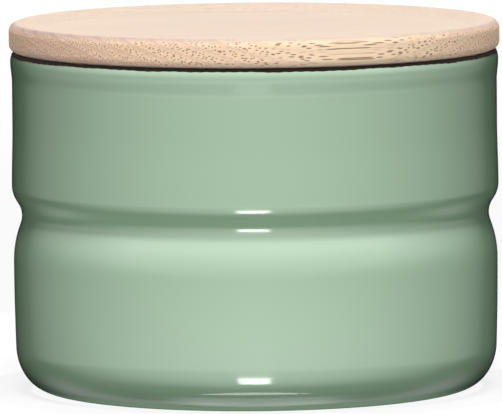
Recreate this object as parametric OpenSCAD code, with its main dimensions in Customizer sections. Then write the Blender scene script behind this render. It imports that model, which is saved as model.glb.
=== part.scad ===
// Round storage canister: a pressed steel body in enamel and a turned wooden lid with a lip seal.
// Millimetres, +Z up, origin at the centre of the foot. Every piece is a revolve about Z.

/* [Body] */
// Height of the body from the foot to the mouth's rim
body_h = 90; // [75:1:160]
// Outer diameter of the wall below the waist groove
wall_d = 128.4; // [110:0.1:170]
// Steel wall with its outer enamel
wall_t = 1; // [0.6:0.1:1.6]
// How far the wall draws in, on the radius, from the groove down to the base corner
wall_draft = 0.35; // [0:0.05:1.5]

/* [Base] */
// Width of the rounded base corner, on the radius
corner_w = 9.4; // [5:0.1:14]
// Height of the rounded base corner
corner_h = 12; // [6:0.5:20]
// Width of the flat ring that the canister stands on
foot_w = 3; // [2:0.5:8]
// Height of the hollow inside the foot ring
hollow_h = 1.2; // [0.5:0.1:3]
// Width of the slope from the foot ring up to the hollow's flat middle
hollow_slope = 7; // [4:0.5:20]

/* [Waist groove] */
// Height of the groove's deepest line
groove_z = 46.5; // [40:0.1:55]
// Depth of the groove below the lower wall, on the radius
groove_depth = 2.25; // [1.8:0.05:3.5]
// Radius of the groove's floor
groove_r = 6.3; // [4:0.1:9]
// Slope of the groove's lower flank from upright, in degrees
lower_flank = 19; // [12:0.1:20]
// Slope of the groove's upper flank from upright, in degrees
upper_flank = 31.7; // [20:0.1:35]
// Radius of the lower shoulder
lower_r = 26.5; // [10:0.5:32]
// Radius of the upper shoulder
upper_r = 7; // [3:0.1:9]
// How far the wall above the groove stands out past the wall below it
upper_step = 0.35; // [0:0.05:1]

/* [Mouth] */
// How far the upper wall draws in above the groove, on the radius
swell = 0.3; // [0:0.05:0.8]
// Height over which the upper wall draws in
swell_run = 16; // [8:1:20]
// How far the mouth opens out again, on the radius
flare = 0.42; // [0:0.02:1]
// Height over which the mouth opens out
flare_run = 5.5; // [4:0.5:14]
// Height from the mouth's widest line to its top, over which the edge curls in
curl_h = 2.6; // [2:0.1:4]
// Radius of the edge's tip, where the curl turns over to the inside
tip_r = 0.32; // [0.25:0.01:0.36]

/* [Enamel] */
// Thickness of the lining coat
lining_t = 0.25; // [0.15:0.05:0.4]
// Thickness of the rim's coat
rim_t = 0.15; // [0.1:0.01:0.2]
// How far the rim's coat reaches down outside
rim_drop = 0.85; // [0.7:0.05:1.4]
// How far the rim's coat reaches down inside
rim_inner_drop = 1.4; // [0.9:0.1:3]
// Gap between one coat and the next
coat_gap = 0.03; // [0.01:0.01:0.03]

/* [Lid] */
// How far the lid's edge stands out past the mouth, on the radius
lid_overhang = 0.33; // [0:0.01:3]
// Thickness of the lid above the rim
lid_t = 7.7; // [6:0.1:16]
// Radius of the lid's upper edge
lid_top_r = 2.3; // [1:0.1:3]
// Radius of the lid's lower edge
lid_low_r = 2.1; // [0.5:0.1:2.5]
// Gap between the lid's shoulder and the rim
seat_gap = 0.05; // [0.02:0.01:0.2]
// Depth of the dish on top
dish_depth = 2; // [0.5:0.1:3.5]
// Width of the level rim between the lid's upper edge and the dish
crown_w = 0.9; // [0.5:0.1:6]
// Width of the slope from the rim down to the dish's floor
dish_slope = 6; // [4:0.1:14]
// How far the plug reaches down into the mouth
plug_h = 9.5; // [9:0.1:16]
// Gap between the plug and the mouth's lining
plug_gap = 2.1; // [1.4:0.1:3]
// Width of the chamfer round the plug's lower edge
plug_chamfer = 0.8; // [0.3:0.1:1.2]

/* [Seal ring] */
// Height of the seal's band and of its groove in the plug
seal_h = 5.4; // [5:0.1:7]
// Distance from the lid's shoulder down to the seal's groove
seal_drop = 2; // [1:0.1:3]
// Thickness of the seal's band
seal_t = 1.6; // [1:0.1:2.4]
// Gap between the seal's band and the groove's walls
seal_gap = 0.05; // [0.02:0.01:0.1]
// Number of lips
lip_count = 3; // [1:1:4]
// Thickness of a lip at its tip
lip_t = 0.4; // [0.3:0.05:0.6]
// Thickness of a lip at its root
lip_root_t = 0.9; // [0.6:0.1:1.2]
// How far a lip's tip lies above its root
lip_rise = 0.5; // [0:0.1:0.9]
// Gap between the lips and the mouth's lining
lip_gap = 0.1; // [0.05:0.01:0.2]

/* [Hidden] */
$fn = 96;
arc_steps = 10;
slope_steps = 12;
wall_steps = 8;
top_steps = 24;
tip_steps = 6;

lid_z = body_h + seat_gap;
lid_top = lid_z + lid_t;
wall_r = wall_d / 2;
upper_wall_r = wall_r + upper_step;
mouth_r = upper_wall_r - swell + flare;
lid_r = mouth_r + lid_overhang;
mouth_in_r = mouth_r - wall_t - coat_gap - lining_t;
plug_r = mouth_in_r - plug_gap;
seal_floor_r = plug_r - seal_t - seal_gap;
foot_r = wall_r - wall_draft - corner_w;
rim_w = wall_t + coat_gap + lining_t;
rim_out_z = body_h - rim_drop;
rim_low_z = body_h - rim_inner_drop;

// The edge's outer curl is an upright arc that meets the tip's arc without a corner
widest_z = body_h - curl_h;
curl_r = (pow(rim_w - tip_r, 2) + pow(curl_h - tip_r, 2) - pow(tip_r, 2)) / (2 * rim_w - 4 * tip_r);
curl_end = asin((curl_h - tip_r) / (curl_r - tip_r));

// Smooth step from 0 to 1 with level ends
function ease(u) = (1 - cos(180 * max(0, min(1, u)))) / 2;

// Points of an arc about (x, z), from angle a to angle b
function arc(x, z, r, a, b, steps = arc_steps) =
    [for (i = [0:steps]) let (t = a + (b - a) * i / steps) [x + r * cos(t), z + r * sin(t)]];

// Points from (x1, z1) to (x2, z2) along a smooth S whose ends are level
function level_s(x1, z1, x2, z2) =
    [for (i = [0:slope_steps]) let (u = i / slope_steps)
        [x1 + (x2 - x1) * u, z1 + (z2 - z1) * ease(u)]];

// The outline moved to its left by a distance, square to itself at each point
function inset(line, d) = [for (i = [0:len(line) - 1])
    let (a = line[max(i - 1, 0)], b = line[min(i + 1, len(line) - 1)],
         run = (b - a) / norm(b - a))
    line[i] + d * [-run[1], run[0]]];

// The part of an outline that lies below a height
function below(line, z) = [for (p = line) if (p[1] < z) p];

function reverse(line) = [for (i = [len(line) - 1:-1:0]) line[i]];

// The groove's height from its floor line up one flank to the plain wall, for a shoulder radius
function flank_rise(depth, slope, r) = (groove_r + r) * sin(slope)
    + (depth - (groove_r + r) * (1 - cos(slope))) / tan(slope);

groove_low_z = groove_z - flank_rise(groove_depth, lower_flank, lower_r);
groove_top_z = groove_z + flank_rise(groove_depth + upper_step, upper_flank, upper_r);
groove_x = wall_r - groove_depth + groove_r;

low_wall_h = groove_low_z - corner_h;
top_wall_h = widest_z - groove_top_z;

// Radius of the plain wall, below the groove and above it
function low_wall(z) = wall_r - wall_draft * pow((groove_low_z - z) / low_wall_h, 2);
function top_wall(z) = upper_wall_r - swell * ease((z - groove_top_z) / swell_run)
    + flare * ease((z - widest_z + flare_run) / flare_run);

// Outer outline of the body, from the axis below the floor out round the corner to the widest line
function base_line() = concat(
    [[0, hollow_h]],
    level_s(foot_r - foot_w - hollow_slope, hollow_h, foot_r - foot_w, 0),
    [for (i = [0:arc_steps]) let (t = 90 * i / arc_steps)
        [foot_r + corner_w * sin(t), corner_h * (1 - cos(t))]]);
function groove_line() = concat(
    arc(wall_r - lower_r, groove_low_z, lower_r, 0, lower_flank),
    arc(groove_x, groove_z, groove_r, 180 + lower_flank, 180 - upper_flank),
    arc(upper_wall_r - upper_r, groove_top_z, upper_r, -upper_flank, 0));
function body_line() = concat(
    base_line(),
    [for (i = [1:wall_steps - 1]) let (z = corner_h + low_wall_h * i / wall_steps) [low_wall(z), z]],
    groove_line(),
    [for (i = [1:top_steps]) let (z = groove_top_z + top_wall_h * i / top_steps) [top_wall(z), z]]);

// Angle on the curl, moved in by a coat's thickness, at which the rim's coat begins
function coat_start(coat) = asin((rim_out_z - widest_z) / (curl_r - coat));

// The curl from the widest line up to the rim's coat, without its first point
function curl_line() =
    arc(mouth_r - curl_r, widest_z, curl_r, coat_start(0) / arc_steps, coat_start(0), arc_steps - 1);

// The edge from the rim's coat up over its tip, moved in by a coat's thickness
function edge_line(coat) =
    let (start = coat_start(coat), step = (curl_end - start) / arc_steps)
    concat(
        arc(mouth_r - curl_r, widest_z, curl_r - coat, start, curl_end - step, arc_steps - 1),
        arc(mouth_in_r + tip_r, body_h - tip_r, tip_r - coat, curl_end, 180, 2 * arc_steps));

// Steel body: one wall thickness behind the outer outline, with the edge running up inside the rim's coat
module body_shell() {
    top = rim_low_z - coat_gap;
    color("#a9c6ae") rotate_extrude()
        polygon(concat(
            body_line(),
            curl_line(),
            edge_line(rim_t + coat_gap),
            [[mouth_in_r + rim_t + coat_gap, top], [mouth_r - wall_t, top]],
            reverse(below(inset(body_line(), wall_t), top))));
}

// Pale lining: one coat over the floor, corner and wall, up to the rim's coat
module lining_enamel() {
    top = rim_low_z - coat_gap;
    color("#eeeae0") rotate_extrude()
        polygon(concat(
            below(inset(body_line(), wall_t + coat_gap), top),
            [[mouth_r - wall_t - coat_gap, top], [mouth_in_r, top]],
            reverse(below(inset(body_line(), rim_w), top))));
}

// Dark coat over the cut edge of the mouth
module rim_enamel() {
    color("#2e241e") rotate_extrude()
        polygon(concat(
            edge_line(0),
            [[mouth_in_r, rim_low_z], [mouth_in_r + rim_t, rim_low_z]],
            reverse(edge_line(rim_t))));
}

// Outline of the plug, from the lid's shoulder down past the seal's groove to the axis
function plug_side() = [
    [plug_r, lid_z],
    [plug_r, lid_z - seal_drop],
    [seal_floor_r, lid_z - seal_drop],
    [seal_floor_r, lid_z - seal_drop - seal_h],
    [plug_r, lid_z - seal_drop - seal_h],
    [plug_r, lid_z - plug_h + plug_chamfer],
    [plug_r - plug_chamfer, lid_z - plug_h],
    [0, lid_z - plug_h]];

// Turned lid: dished top, rounded edges, and a plug with a groove for the seal
module wood_lid() {
    crown_r = lid_r - lid_top_r;
    dish_r = crown_r - crown_w;
    color("#e6cfb0") rotate_extrude()
        polygon(concat(
            [[0, lid_top - dish_depth]],
            level_s(dish_r - dish_slope, lid_top - dish_depth, dish_r, lid_top),
            arc(crown_r, lid_top - lid_top_r, lid_top_r, 90, 0),
            arc(lid_r - lid_low_r, lid_z + lid_low_r, lid_low_r, 0, -90),
            plug_side()));
}

// Silicone seal: a band in the plug's groove and lips that lean up towards the mouth's lining
module seal_ring() {
    band_low = lid_z - seal_drop - seal_h + seal_gap;
    band_h = seal_h - 2 * seal_gap;
    band_r = seal_floor_r + seal_gap + seal_t;
    pitch = band_h / lip_count;
    function lining_r(z) = top_wall(z) - wall_t - coat_gap - lining_t;
    function lip(i) =
        let (root = band_low + pitch * i + (pitch - lip_root_t - lip_rise) / 2,
             tip = root + lip_rise + lip_root_t / 2,
             tip_r = lining_r(tip - lip_t) - lip_gap - lip_t / 2)
        concat([[band_r, root]], arc(tip_r, tip, lip_t / 2, -80, 90, tip_steps),
            [[band_r, root + lip_root_t]]);
    color("#ece9e2") rotate_extrude()
        polygon(concat(
            [[seal_floor_r + seal_gap, band_low], [band_r, band_low]],
            [for (i = [0:lip_count - 1]) each lip(i)],
            [[band_r, band_low + band_h], [seal_floor_r + seal_gap, band_low + band_h]]));
}

body_shell();
lining_enamel();
rim_enamel();
wood_lid();
seal_ring();
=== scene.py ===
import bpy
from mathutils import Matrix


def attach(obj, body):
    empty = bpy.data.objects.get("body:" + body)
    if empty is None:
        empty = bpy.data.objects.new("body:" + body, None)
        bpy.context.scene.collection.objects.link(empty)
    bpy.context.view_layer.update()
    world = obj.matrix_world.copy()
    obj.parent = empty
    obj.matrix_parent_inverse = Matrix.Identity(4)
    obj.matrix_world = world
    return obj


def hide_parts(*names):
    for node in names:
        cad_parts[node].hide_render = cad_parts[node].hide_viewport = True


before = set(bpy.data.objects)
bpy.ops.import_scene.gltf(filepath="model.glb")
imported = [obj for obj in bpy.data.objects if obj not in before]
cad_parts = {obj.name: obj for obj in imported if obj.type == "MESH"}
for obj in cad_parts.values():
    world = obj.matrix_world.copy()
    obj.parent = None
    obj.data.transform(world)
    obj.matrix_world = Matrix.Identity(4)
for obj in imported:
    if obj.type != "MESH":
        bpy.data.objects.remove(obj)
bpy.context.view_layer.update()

import math

import bpy
import numpy as np
from mathutils import Matrix, Vector

MM = 0.001

# ---- Camera
# A long lens 2.4 m away, 5.6 degrees above the table and level but for a slight roll.
# It looks at the middle of the canister, which nearly fills the frame's width.
distance, elevation, roll = 2.4, math.radians(5.634), math.radians(0.468)
pivot_h, aim = 0.044, Vector((-1.164, 0.38, 47.98)) * MM
stand = Vector((0, -distance * math.cos(elevation), pivot_h + distance * math.sin(elevation)))
sight = (aim - stand).normalized()
right = sight.cross(Vector((0, 0, 1))).normalized()
up = right.cross(sight)
across = math.cos(roll) * right - math.sin(roll) * up
upward = math.sin(roll) * right + math.cos(roll) * up
camera = bpy.data.objects.new("camera", bpy.data.cameras.new("camera"))
bpy.context.scene.collection.objects.link(camera)
turned = Matrix((across, upward, -sight)).transposed().to_4x4()
camera.matrix_world = Matrix.Translation(stand) @ turned
camera.data.sensor_width, camera.data.lens = 36, 648.4
camera.data.clip_start, camera.data.clip_end = 0.1, 20
bpy.context.scene.camera = camera
bpy.context.scene.view_settings.view_transform = "Standard"

# ---- Steel body in green enamel
# One pressed steel bowl with a waist groove, a rounded base corner and a foot ring, dipped in
# sage green enamel that has run to a smooth, very slightly rippled gloss.

# Wall, base corner and foot, all in millimetres
wall_r, wall_t, draft = 64.2, 1.0, 0.35
corner_w, corner_h = 9.4, 12.0
foot_r = wall_r - draft - corner_w
foot_w, hollow_h, hollow_slope = 3.0, 1.2, 7.0
# Waist groove: its floor, and the slope and the shoulder's radius of each flank
groove_z, groove_depth, groove_r = 46.5, 2.25, 6.3
low_flank, low_round = math.radians(19), 26.5
top_flank, top_round = math.radians(31.7), 7.0
# Upper wall, which stands out a little past the lower one, draws in and opens out again
upper_step, swell, swell_run, flare, flare_run = 0.35, 0.3, 16.0, 0.42, 5.5
upper_r = wall_r + upper_step
mouth_r = upper_r - swell + flare
# Coats, and the mouth's edge: its curl, its tip and how far down the rim's coat reaches
coat_gap, lining_t, rim_t = 0.03, 0.25, 0.15
rim_w = wall_t + coat_gap + lining_t
mouth_in_r = mouth_r - rim_w
body_h, curl_h, tip_r = 90.0, 2.6, 0.32
widest_z = body_h - curl_h
curl_r = ((rim_w - tip_r) ** 2 + (curl_h - tip_r) ** 2 - tip_r ** 2) / (2 * rim_w - 4 * tip_r)
coat_low_z, inner_low_z = body_h - 0.85, body_h - 1.4


def ease(u):
    """A smooth step: half of one minus the cosine of u half turns, held level outside 0 to 1."""
    return (1 - np.cos(np.pi * np.clip(u, 0, 1))) / 2


def arc(x, z, r, start, end, steps):
    """Points at equal angles, in radians, on the circle of radius r about (x, z)."""
    t = np.linspace(start, end, steps + 1)
    return np.stack([x + r * np.cos(t), z + r * np.sin(t)], 1)


def curl_at(z):
    """Radius of the mouth's curl at a height: that of the circle which leaves the widest line."""
    return mouth_r - curl_r + np.sqrt(curl_r ** 2 - (z - widest_z) ** 2)


def upper_wall(z):
    """Radius of the wall above the groove at a height: eased steps in for the swell and out for the
    flare."""
    return (upper_r - swell * ease((z - top_z) / swell_run)
            + flare * ease((z - widest_z + flare_run) / flare_run))


def moved_in(line, depth):
    """The outline moved to its left: each point goes square to the line through its neighbours."""
    run = np.gradient(line, axis=0)
    run /= np.linalg.norm(run, axis=1, keepdims=True)
    return line + depth * np.stack([-run[:, 1], run[:, 0]], 1)


def flank_rise(depth, slope, r):
    """Height of one flank: both roundings' share, and the straight run between them."""
    both = groove_r + r
    return both * math.sin(slope) + (depth - both * (1 - math.cos(slope))) / math.tan(slope)


low_z = groove_z - flank_rise(groove_depth, low_flank, low_round)
top_z = groove_z + flank_rise(groove_depth + upper_r - wall_r, top_flank, top_round)


def wall_line():
    """The body's outer outline, from the axis under the floor to the mouth's widest line: an eased
    step for the hollow, a quarter ellipse for the corner, a parabola for the lower wall, three arcs
    and two straight runs for the groove, and the upper wall."""
    u = np.linspace(0, 1, 13)
    inner = foot_r - foot_w - hollow_slope
    hollow = np.stack([inner + hollow_slope * u, hollow_h * (1 - ease(u))], 1)
    t = np.linspace(0, np.pi / 2, 25)
    corner = np.stack([foot_r + corner_w * np.sin(t), corner_h * (1 - np.cos(t))], 1)
    z = np.linspace(corner_h, low_z, 13)[1:-1]
    low = np.stack([wall_r - draft * ((low_z - z) / (low_z - corner_h)) ** 2, z], 1)
    z = np.linspace(top_z, widest_z, 41)[1:]
    top = np.stack([upper_wall(z), z], 1)
    return np.concatenate([
        [[0, hollow_h]], hollow, corner, low,
        arc(wall_r - low_round, low_z, low_round, 0, low_flank, 14),
        arc(wall_r - groove_depth + groove_r, groove_z, groove_r,
            np.pi + low_flank, np.pi - top_flank, 24),
        arc(upper_r - top_round, top_z, top_round, -top_flank, 0, 12),
        top])


def edge_line(coat):
    """The mouth's edge, one coat's thickness in: a large arc curls in from the widest line and
    runs into the small arc of the tip."""
    slope = math.asin((curl_h - tip_r) / (curl_r - tip_r))
    return np.concatenate([
        arc(mouth_r - curl_r, widest_z, curl_r - coat, 0, slope, 12)[1:],
        arc(mouth_in_r + tip_r, body_h - tip_r, tip_r - coat, slope, np.pi, 12)[1:]])


def revolved(name, line, around=320, closed=False):
    """A skin of revolution: each point (radius, height) of the outline, in millimetres, is carried
    round the axis in equal turns. An outline from axis to axis ends in two poles, and a closed one
    joins its last point to its first. An array of outlines gives one to each turn."""
    line = np.broadcast_to(line, (around,) + np.shape(line)[-2:]) * MM
    turn = np.linspace(0, 2 * np.pi, around, endpoint=False)[:, None]
    grid = np.stack([line[..., 0] * np.cos(turn), line[..., 0] * np.sin(turn), line[..., 1]], 2)
    j = np.arange(around)[:, None]
    k = (j + 1) % around
    if closed:
        points, n = grid.reshape(-1, 3), grid.shape[1]
        i, i1 = np.arange(n)[None], (np.arange(n)[None] + 1) % n
        quads = np.stack([j * n + i, k * n + i, k * n + i1, j * n + i1], 2).reshape(-1, 4)
        fans = np.zeros((0, 3), int)
    else:
        rings, n = grid[:, 1:-1], grid.shape[1] - 2
        points = np.concatenate([rings.reshape(-1, 3), grid[:1, 0], grid[:1, -1]])
        i = np.arange(n - 1)[None]
        quads = np.stack([j * n + i, k * n + i, k * n + i + 1, j * n + i + 1], 2).reshape(-1, 4)
        first, last = around * n + 0 * j, around * n + 1 + 0 * j
        fans = np.concatenate([np.hstack([first, k * n, j * n]),
                               np.hstack([last, j * n + n - 1, k * n + n - 1])])
    mesh = bpy.data.meshes.new(name)
    mesh.from_pydata(points, [], quads.tolist() + fans.tolist())
    mesh.shade_smooth()
    mesh.set_sharp_from_angle(angle=math.radians(38))
    piece = bpy.data.objects.new(name, mesh)
    bpy.context.scene.collection.objects.link(piece)
    return piece


class Wire:
    """An output socket in a material. Arithmetic on wires adds the Math nodes that it needs, and
    node() adds any other node: its settings first, then a value or a wire for each socket."""

    def __init__(self, tree, socket=None):
        self.tree, self.socket = tree, socket

    def node(self, kind, settings, sockets, output=0):
        made = self.tree.nodes.new(kind)
        for name, value in settings.items():
            if name == "stops":
                ramp = made.color_ramp.elements
                ramp[0].position, ramp[1].position = value[0][0], value[-1][0]
                for place, _ in value[1:-1]:
                    ramp.new(place)
                for stop, (_, colour) in zip(ramp, value):
                    stop.color = (*colour, 1)
            else:
                setattr(made, name, value)
        for name, value in sockets.items():
            if isinstance(value, Wire):
                self.tree.links.new(value.socket, made.inputs[name])
            else:
                made.inputs[name].default_value = value
        return Wire(self.tree, made.outputs[output] if made.outputs else None)

    def maths(self, operation, *others):
        """A Math node on this wire and others, for what has no sign of its own."""
        return self.node("ShaderNodeMath", {"operation": operation},
                         dict(enumerate((self,) + others)))

    def __add__(self, other): return self.maths("ADD", other)
    def __sub__(self, other): return self.maths("SUBTRACT", other)
    def __mul__(self, other): return self.maths("MULTIPLY", other)
    def __truediv__(self, other): return self.maths("DIVIDE", other)
    def __pow__(self, other): return self.maths("POWER", other)
    def __rsub__(self, other): return (self * -1.0) + other
    __radd__, __rmul__ = __add__, __mul__

    def rising(self, low, high):
        """Smoothly from 0 at low to 1 at high, or the other way round where low is the larger."""
        lo, hi, a, b = (low, high, 0.0, 1.0) if low < high else (high, low, 1.0, 0.0)
        return self.node("ShaderNodeMapRange", {"interpolation_type": "SMOOTHSTEP"},
                         {"Value": self, "From Min": lo, "From Max": hi, "To Min": a, "To Max": b})

    def part(self, axis):
        """One of this vector's three numbers."""
        return self.node("ShaderNodeSeparateXYZ", {}, {0: self}, axis)

    def noise(self, scale, detail=2.0, rough=0.5):
        """Noise of the given number of waves per unit of this vector."""
        return self.node("ShaderNodeTexNoise", {},
                         {"Vector": self, "Scale": scale, "Detail": detail, "Roughness": rough})

    def blend(self, first, second, how="MIX"):
        """A colour that goes from the first to the second as this wire goes from 0 to 1."""
        full = [c if isinstance(c, Wire) else (*c, 1.0) for c in (first, second)]
        return self.node("ShaderNodeMix", {"data_type": "RGBA", "blend_type": how},
                         {0: self, 6: full[0], 7: full[1]}, 2)


def material(name):
    """An empty material and a wire with its object coordinates in millimetres."""
    made = bpy.data.materials.new(name)
    made.use_nodes = True
    made.node_tree.nodes.clear()
    tree = Wire(made.node_tree)
    place = tree.node("ShaderNodeTexCoord", {}, {}, "Object")
    return made, tree.node("ShaderNodeVectorMath", {"operation": "SCALE"},
                           {0: place, "Scale": 1 / MM})


def shaded(wire, fixed, **varying):
    """Ends a material in one Principled shader: fixed numbers on its sockets, and the few inputs
    that vary over the surface as wires."""
    shader = wire.node("ShaderNodeBsdfPrincipled", {}, {**fixed, **{
        name.replace("_", " "): value for name, value in varying.items()}})
    wire.node("ShaderNodeOutputMaterial", {}, {"Surface": shader})


def bumped(wire, height, depth):
    """A normal that follows a height from 0 to 1 as if it stood that many millimetres deep."""
    return wire.node("ShaderNodeBump", {}, {"Strength": 1.0, "Distance": depth * MM,
                                            "Height": height})


outer, inner = wall_line(), moved_in(wall_line(), wall_t)
inner[0, 0] = 0
# The steel's bare curl, and its edge where the rim's coat covers it
step_z = coat_low_z + 0.1
bare_z = np.linspace(widest_z, step_z, 7)[1:]
edge = edge_line(rim_t + coat_gap)
coats_meet_z = inner_low_z - coat_gap
body = revolved("canister_body", np.concatenate([
    outer, np.stack([curl_at(bare_z), bare_z], 1), edge[edge[:, 1] > step_z],
    [[mouth_in_r + rim_t + coat_gap, coats_meet_z], [mouth_r - wall_t, coats_meet_z]],
    inner[::-1]]))

green, place = material("green_enamel")
flow = place.noise(0.035, 2.0)
ripple = place.noise(0.16, 1.0) * 0.75 + place.noise(0.55, 1.0) * 0.25
shade = flow.blend((0.275, 0.428, 0.281), (0.287, 0.443, 0.293))
# Painted light: the coat is made a touch lighter below the groove, standing in for the extra light
# that the table throws up onto the lower wall
shade = place.part(2).rising(60.0, 38.0).blend(shade, (1.07, 1.06, 1.075), "MULTIPLY")
shaded(place, {"IOR": 1.5}, Base_Color=shade,
       Roughness=place.noise(0.3, 2.0) * 0.04 + 0.06,
       Normal=bumped(place, ripple, 0.012))
body.data.materials.append(green)
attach(body, "canister")
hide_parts("body_shell")

# ---- Lining
# One coat of warm white enamel, poured into the bowl and fired on. It lies on the inside of the
# steel, over the floor, the corner and the groove's back, up to the rim's coat.
outside = moved_in(outer, wall_t + coat_gap)
inside = moved_in(outer, rim_w)
for line in (outside, inside):
    line[0, 0] = 0
lining = revolved("canister_lining", np.concatenate([
    outside, [[mouth_r - wall_t - coat_gap, coats_meet_z], [mouth_in_r, coats_meet_z]],
    inside[::-1]]))
white, place = material("white_enamel")
shaded(place, {"IOR": 1.5},
       Base_Color=place.noise(0.05, 2.0).blend((0.80, 0.775, 0.70), (0.83, 0.81, 0.745)),
       Roughness=place.noise(0.3, 2.0) * 0.05 + 0.08,
       Normal=bumped(place, place.noise(0.2, 1.0), 0.015))
lining.data.materials.append(white)
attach(lining, "canister")
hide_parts("lining_enamel")

# ---- Rim coat
# Dark brown enamel over the cut edge of the mouth, made near black as a painted shadow for the gap
# under the lid's edge. It was put on after the other coats, so its lower edge lies a hair proud of
# them and wanders a little, as a painted line does.
around, wander, proud = 768, 0.045, 0.04
turn = np.linspace(0, 2 * np.pi, around, endpoint=False)
draw = np.random.default_rng(7)
waves = sum(draw.normal() * np.cos(n * turn + draw.uniform(0, 6.28)) / n ** 0.5
            for n in (3, 5, 9, 14, 23, 37, 58, 91, 140))
low_edge = coat_low_z + wander * waves / np.abs(waves).std()
# The rest of the outline, the same at every turn: over the tip, and down the inside
tip = edge_line(0)
tip, leg_z = tip[tip[:, 1] > coat_low_z + 0.36], body_h - 0.45
legs = [[mouth_in_r, inner_low_z], [mouth_in_r + rim_t, inner_low_z],
        [mouth_in_r + rim_t, leg_z], [mouth_r - rim_t - 0.5, leg_z]]
rim_lines = []
for z in low_edge:
    heights = np.linspace(z + 0.06, coat_low_z + 0.35, 4)
    rim_lines.append(np.concatenate([
        [[curl_at(z) - rim_t, z], [curl_at(z), z], [curl_at(z) + proud * 0.7, z + 0.02]],
        np.stack([curl_at(heights) + proud, heights], 1), tip, legs]))
rim = revolved("rim_coat", np.array(rim_lines), around, closed=True)
brown, place = material("brown_enamel_and_gap_shadow")
shaded(place, {"IOR": 1.5, "Specular IOR Level": 0.05},
       # Painted shadow: near black, darker than the brown enamel itself, for the shade in the gap
       # under the lid
       Base_Color=place.noise(0.7, 3.0).blend((0.003, 0.002, 0.001), (0.02, 0.011, 0.006)),
       Roughness=place.noise(0.5, 2.0) * 0.2 + 0.45,
       Normal=bumped(place, place.noise(1.2, 2.0), 0.05))
rim.data.materials.append(brown)
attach(rim, "canister")
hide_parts("rim_enamel")

# ---- Lid
# One piece of ash, turned on a lathe: a shallow dish on top, soft edges, and a plug below with a
# groove for the seal. It is oiled and sanded, and the ring-porous grain runs through all of it.

# The disc: its overhang past the mouth, its soft edges above and below, and the dish
lid_gap, lid_t, overhang = 0.05, 7.7, 0.33
lid_z, lid_r = body_h + lid_gap, mouth_r + overhang
lid_top, lid_top_r, lid_low_r = lid_z + lid_t, 2.3, 2.1
crown_w, dish_slope, dish_depth = 0.9, 6.0, 2.0
crown_r = lid_r - lid_top_r
dish_r, dish_z = crown_r - crown_w, lid_top - dish_depth
# The plug, and the groove in it that holds the seal
plug_gap, plug_h, chamfer = 2.1, 9.5, 0.8
plug_r, plug_low = mouth_in_r - plug_gap, lid_z - plug_h
seal_drop, seal_h, seal_t, seal_gap = 2.0, 5.4, 1.6, 0.05
seal_floor_r = plug_r - seal_t - seal_gap
seal_top, seal_low = lid_z - seal_drop, lid_z - seal_drop - seal_h
u = np.linspace(0, 1, 17)


def eased_corners(corners, r=0.15):
    """The outline through these corners, each cut by a short bevel so that edges catch light."""
    corners = np.asarray(corners, float)
    back = corners[:-2] - corners[1:-1]
    on = corners[2:] - corners[1:-1]
    cut = lambda way: corners[1:-1] + r * way / np.linalg.norm(way, axis=1, keepdims=True)
    return np.concatenate([corners[:1], np.stack([cut(back), cut(on)], 1).reshape(-1, 2),
                           corners[-1:]])


plug = eased_corners([
    [plug_r + 0.6, lid_z], [plug_r, lid_z], [plug_r, seal_top], [seal_floor_r, seal_top],
    [seal_floor_r, seal_low], [plug_r, seal_low], [plug_r, plug_low + chamfer],
    [plug_r - chamfer, plug_low], [plug_r - 8, plug_low]])
lid = revolved("ash_lid", np.concatenate([
    [[0, plug_low]], plug[::-1],
    arc(lid_r - lid_low_r, lid_z + lid_low_r, lid_low_r, -np.pi / 2, 0, 12),
    arc(crown_r, lid_top - lid_top_r, lid_top_r, 0, np.pi / 2, 14),
    np.stack([dish_r - dish_slope * u, lid_top - dish_depth * ease(u)], 1),
    [[40, dish_z], [20, dish_z], [0, dish_z]]]))

ash, place = material("ash_wood")
grain_turn, ring_tilt = math.radians(23), math.radians(28)
ring_w, pore_pitch = 2.6, 0.64
grain = place.node("ShaderNodeMapping", {"vector_type": "TEXTURE"},
                   {"Vector": place, "Rotation": (ring_tilt, 0, grain_turn)})
along, over, through = (grain.part(axis) for axis in range(3))


def vector(x, y, z):
    """A vector of three wires or numbers."""
    return along.node("ShaderNodeCombineXYZ", {}, {"X": x, "Y": y, "Z": z})


# Growth rings, bowed and wavering a little along the grain; phase goes from 0 to 1 through each
drift = vector(along * 0.012, over * 0.05, through * 0.05).noise(1.0, 2.0)
ring = (through + over * over * 0.003 + drift * 5.0) / ring_w
year = ring.maths("FLOOR")
phase = ring - year
early = 0.25 + 0.75 * phase.rising(0.0, 0.12) * phase.rising(0.8, 0.5)
late = phase.rising(0.55, 0.95)
# Each year is a little lighter or darker than the next
tone = year.node("ShaderNodeTexWhiteNoise", {"noise_dimensions": "1D"}, {"W": year})
# Pores run with the grain as long thin tubes that bend slightly, most of them in the early wood
bend = vector(along * 0.05, over * 0.3, through * 0.3).noise(1.0, 1.0)
tubes = vector(over / pore_pitch + bend * 1.5, through / pore_pitch + bend * -1.2, 0.0)
cell = tubes.node("ShaderNodeTexVoronoi", {"feature": "F1", "voronoi_dimensions": "2D"},
                  {"Vector": tubes, "Scale": 1.0, "Randomness": 1.0}, "Distance")
pore = cell.rising(0.31, 0.17) * early
# Side of the lid, its rounded crown, and how squarely the fibres are cut there
radius = (place.part(0) ** 2.0 + place.part(1) ** 2.0) ** 0.5
side = radius.rising(63.8, 65.05)
crown = radius.rising(62.7, 63.5) * radius.rising(65.05, 64.5)
end_cut = (along / radius).maths("ABSOLUTE") * radius.rising(62.7, 64.0)
fibre = vector(along * 0.25, over * 3.0, through * 3.0).noise(1.0, 3.0, 0.6)
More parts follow.
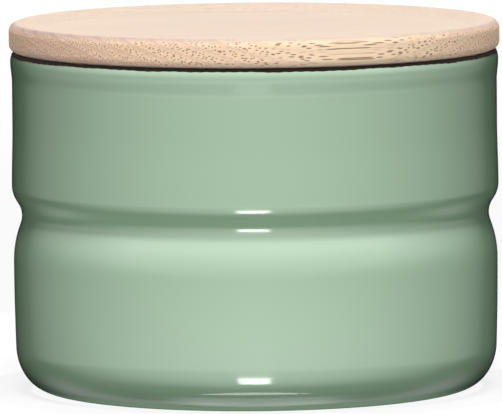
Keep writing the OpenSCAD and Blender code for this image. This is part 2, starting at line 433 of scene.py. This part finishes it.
# Pale wood, tinted layer by layer: late wood is darker, and cut ends take up more oil. The side is
# made lighter and the crown at the cut ends darker, as painted light and painted shade.
colour = (late * 0.45 + tone * 0.3).blend((0.735, 0.605, 0.50), (0.68, 0.545, 0.44))
# Painted light: the side is made lighter than the top, for light that the lamps give the top but
# not the side; it is also made a little yellower
colour = side.blend(colour, (1.30, 1.26, 1.07), "MULTIPLY")
colour = end_cut.blend(colour, (0.97, 0.87, 0.90), "MULTIPLY")
# Painted shade: the crown is darkened where the fibres are cut across, standing in for less light
# there than the lamps give
colour = (end_cut ** 4.0 * crown).blend(colour, (0.79, 0.81, 0.86), "MULTIPLY")
end_ring = end_cut ** 1.5 * (late * 0.7 + tone * 0.3)
colour = end_ring.blend(colour, (0.80, 0.73, 0.74), "MULTIPLY")
streak = (0.3 + side * 0.3) * fibre.rising(0.35, 0.75)
colour = streak.blend(colour, (0.88, 0.83, 0.79), "MULTIPLY")
colour = (pore * (0.15 + 0.8 * side)).blend(colour, (0.30, 0.17, 0.09))
shaded(place, {"IOR": 1.45, "Specular IOR Level": 0.35, "Diffuse Roughness": 0.3},
       Base_Color=colour,
       Roughness=0.55 + pore * 0.3,
       Normal=bumped(place, 1.0 - pore * 0.8 - late * 0.1 + fibre * 0.15, 0.05))
lid.data.materials.append(ash)
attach(lid, "lid")
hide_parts("wood_lid")

# ---- Seal
# A ring of milky silicone, moulded in one piece with three thin lips that bear on the lining. It
# is stretched over the plug and held by the groove there.
band_low, band_h = seal_low + seal_gap, seal_h - 2 * seal_gap
band_in_r, band_r = seal_floor_r + seal_gap, seal_floor_r + seal_gap + seal_t
pitch, lip_t, lip_root_t, lip_rise, lip_gap = band_h / 3, 0.4, 0.9, 0.5, 0.1
lips = []
for root in band_low + pitch * np.arange(3) + (pitch - lip_root_t - lip_rise) / 2:
    tip_z = root + lip_rise + lip_root_t / 2
    lining_r = upper_wall(tip_z - lip_t) - rim_w
    lips += [[[band_r, root]],
             arc(lining_r - lip_gap - lip_t / 2, tip_z, lip_t / 2, -1.4, np.pi / 2, 8),
             [[band_r, root + lip_root_t]]]
seal = revolved("seal", np.concatenate(
    [[[band_in_r, band_low], [band_r, band_low]], *lips,
     [[band_r, band_low + band_h], [band_in_r, band_low + band_h]]]),
    256, closed=True)
milky, place = material("milky_silicone")
shaded(place, {"IOR": 1.41, "Subsurface Weight": 0.25, "Subsurface Radius": (1.0, 0.9, 0.8),
               "Subsurface Scale": 1.5 * MM},
       Base_Color=place.noise(0.1, 2.0).blend((0.74, 0.73, 0.69), (0.80, 0.79, 0.755)),
       Roughness=place.noise(0.4, 2.0) * 0.1 + 0.36)
seal.data.materials.append(milky)
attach(seal, "lid")
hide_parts("seal_ring")

# ---- Floor and light
# A pale floor that stays white to the camera but keeps the canister's shadow. Soft lamps shine
# from the front and above, with weaker ones behind, and gloss sees the tent round all of it.
floor_mesh = bpy.data.meshes.new("floor")
floor_mesh.from_pydata([(-6, -6, 0), (6, -6, 0), (6, 6, 0), (-6, 6, 0)], [], [(0, 1, 2, 3)])
floor = bpy.data.objects.new("floor", floor_mesh)
bpy.context.scene.collection.objects.link(floor)
floor.visible_glossy = False
pale, place = material("pale_floor")
# The camera sees a table that is a fifth matt, which takes the shadow, and otherwise plain white.
# The canister's light comes off a dull one, which throws little back.
ray = place.node("ShaderNodeLightPath", {}, {}, "Is Camera Ray")
matt = place.node("ShaderNodeBsdfDiffuse", {}, {"Color": (0.8, 0.8, 0.8, 1)})
dull = place.node("ShaderNodeBsdfDiffuse", {}, {"Color": (0.1, 0.1, 0.1, 1)})
lit = place.node("ShaderNodeEmission", {}, {"Color": (1, 1, 1, 1), "Strength": 1.0})
seen = place.node("ShaderNodeMixShader", {}, {0: 0.2, 1: lit, 2: matt})
table = place.node("ShaderNodeMixShader", {}, {0: ray, 1: dull, 2: seen})
place.node("ShaderNodeOutputMaterial", {}, {"Surface": table})
floor_mesh.materials.append(pale)

world = bpy.data.worlds.new("studio")
bpy.context.scene.world = world
world.use_nodes = True
world.node_tree.nodes.clear()
sky = Wire(world.node_tree)
ray = sky.node("ShaderNodeLightPath", {}, {}, "Is Camera Ray")
room = sky.node("ShaderNodeBackground", {}, {"Color": (1, 1, 1, 1), "Strength": 0.03})
backdrop = sky.node("ShaderNodeBackground", {}, {"Color": (1, 1, 1, 1), "Strength": 1.0})
around_all = sky.node("ShaderNodeMixShader", {}, {0: ray, 1: room, 2: backdrop})
sky.node("ShaderNodeOutputWorld", {}, {"Surface": around_all})


def softbox(name, azimuth, height, reach, size, level):
    """A rectangular lamp that faces the middle of the canister from an azimuth (0 is the camera's
    side, 90 its right) and an elevation, in degrees. Its level is the light that it gives a
    surface facing it, where 1 shows a colour as it is written; its power is that level times pi
    squared times the reach squared."""
    a, e = math.radians(azimuth), math.radians(height)
    back = Vector((math.sin(a) * math.cos(e), -math.cos(a) * math.cos(e), math.sin(e)))
    lamp = bpy.data.objects.new(name, bpy.data.lights.new(name, "AREA"))
    lamp.data.shape, lamp.data.size, lamp.data.size_y = "RECTANGLE", *size
    lamp.data.energy = level * math.pi ** 2 * reach ** 2
    lamp.location = Vector((0, 0, 0.05)) + back * reach
    lamp.rotation_mode = "QUATERNION"
    lamp.rotation_quaternion = back.to_track_quat("Z", "Y")
    lamp.visible_camera = lamp.visible_glossy = False
    bpy.context.scene.collection.objects.link(lamp)


softbox("key", 4, 67, 1.2, (0.5, 0.35), 0.8)
softbox("high", 0, 87, 1.2, (0.5, 0.5), 0.1)
softbox("front", 0, 12, 1.6, (0.6, 0.3), 0.45)
softbox("back_left", 160, 15, 1.6, (0.5, 0.5), 0.38)
softbox("back_right", -160, 15, 1.6, (0.5, 0.5), 0.38)

# The tent: a round shell about the canister's middle, which only gloss sees
tent_r, tent_z = 3000, 50
t = np.linspace(-np.pi / 2, np.pi / 2, 49)
tent = revolved("tent", tent_r * np.stack([np.cos(t), np.sin(t)], 1) + [[0, tent_z]], 96)
tent.visible_camera = tent.visible_diffuse = tent.visible_shadow = False
tent.visible_transmission = tent.visible_volume_scatter = False
linen, place = material("tent_linen")
# Elevation and azimuth on it, in degrees, and the azimuth's cosine: 1 is the camera's side
x, y, z = place.part(0), place.part(1), place.part(2) - tent_z
flat = (x * x + y * y) ** 0.5
height = z.maths("ARCTAN2", flat) * math.degrees(1)
azimuth = x.maths("ARCTAN2", y * -1.0) * math.degrees(1)
facing = y * -1.0 / flat
# Brightness by elevation on the camera's side. Low down, the pattern lies lower towards the back.
# The ramp holds an eighth of each level, so that its colours stay under 1.
levels = [(-90, 2.6), (-78, 2.2), (-75, 1.6), (-72, 0.3), (-52, 0.2), (-48, 0.6), (-44, 1.2),
          (-40, 2.0), (-36, 2.7), (-30, 3.1), (-20, 3.5), (-16, 3.2), (-13, 3.4), (-10, 4.6),
          (-8, 4.0), (-6, 3.4), (0, 3.5), (10, 4.1), (18, 4.8), (26, 6.0), (40, 6.0), (60, 3.0),
          (90, 2.0)]
drop = (1.0 - facing) * 15.0 * height.rising(-14, -40)
level = place.node("ShaderNodeValToRGB",
                   {"stops": [(0.5 + e / 180, (bright / 8,) * 3) for e, bright in levels]},
                   {0: (height - drop) / 180.0 + 0.5}) * 8.0
# It fades towards the back, soonest a little below the horizon, and not at all straight below
low_fade = 1.0 - (1.0 - facing) * (0.56 + height.rising(-5, -26) * 0.26)
high_fade = (facing + 0.9) / 1.35
fade = low_fade + (high_fade - low_fade) * height.rising(0, 14)
fade = fade.maths("MAXIMUM", 0.0).maths("MINIMUM", 1.0)
level = level * (fade + (1.0 - fade) * height.rising(-62, -78))
# A pale patch low down at each side, a little behind the canister
level = level + ((1.0 - facing) ** 5.0 * 0.1 * facing.rising(-1.0, -0.5)
                 * height.rising(-16, -42))
# A bright window low in front, which shows in the groove and in the base's corner
window = (azimuth.rising(-11.0, -7.5) * azimuth.rising(9.0, 5.0) * height.rising(-38.5, -36.5)
          * (height.rising(-18.0, -28.5) ** 2.0 + height.rising(-6.0, -22.0) * 0.1))
glow = place.node("ShaderNodeEmission", {}, {"Color": level + window * 16.0, "Strength": 1.0})
place.node("ShaderNodeOutputMaterial", {}, {"Surface": glow})
tent.data.materials.append(linen)

places = 97  # round each table light


def table_light(name, inner, outer, spread, strength):
    """A lit band just over the table, between two circles about the canister's axis and so many
    degrees to each side of the camera's direction. A radius, in millimetres, is one number or an
    array with one for each place round the band."""
    turn = np.radians(np.linspace(-90 - spread, -90 + spread, places))
    band = np.concatenate([np.stack([r * np.cos(turn), r * np.sin(turn), 0.05 + 0 * turn], 1)
                           for r in (inner, outer)]) * MM
    i = np.arange(places - 1)
    mesh = bpy.data.meshes.new(name)
    mesh.from_pydata(band, [], np.stack([i, i + places, i + places + 1, i + 1], 1).tolist())
    made = bpy.data.objects.new(name, mesh)
    bpy.context.scene.collection.objects.link(made)
    made.visible_camera = made.visible_shadow = made.visible_transmission = False
    shine, place = material(name)
    glow = place.node("ShaderNodeEmission", {}, {"Strength": strength})
    place.node("ShaderNodeOutputMaterial", {}, {"Surface": glow})
    mesh.materials.append(shine)
    return made


# What the table round the foot throws back up, and the thin bright line in front of it that only
# the rounded corner's gloss shows
bounce = table_light("bounce", 75, 200, 180, 0.55)
below = table_light("below", 10, 60, 180, 0.7)
bounce.visible_glossy = below.visible_glossy = False
foot_edge, taper = wall_r + 0.4, np.cos(np.linspace(-1.5, 1.5, places))
gleam = table_light("line", foot_edge, foot_edge + 1.5 * taper, 15, 6.5)
gleam.visible_diffuse = False
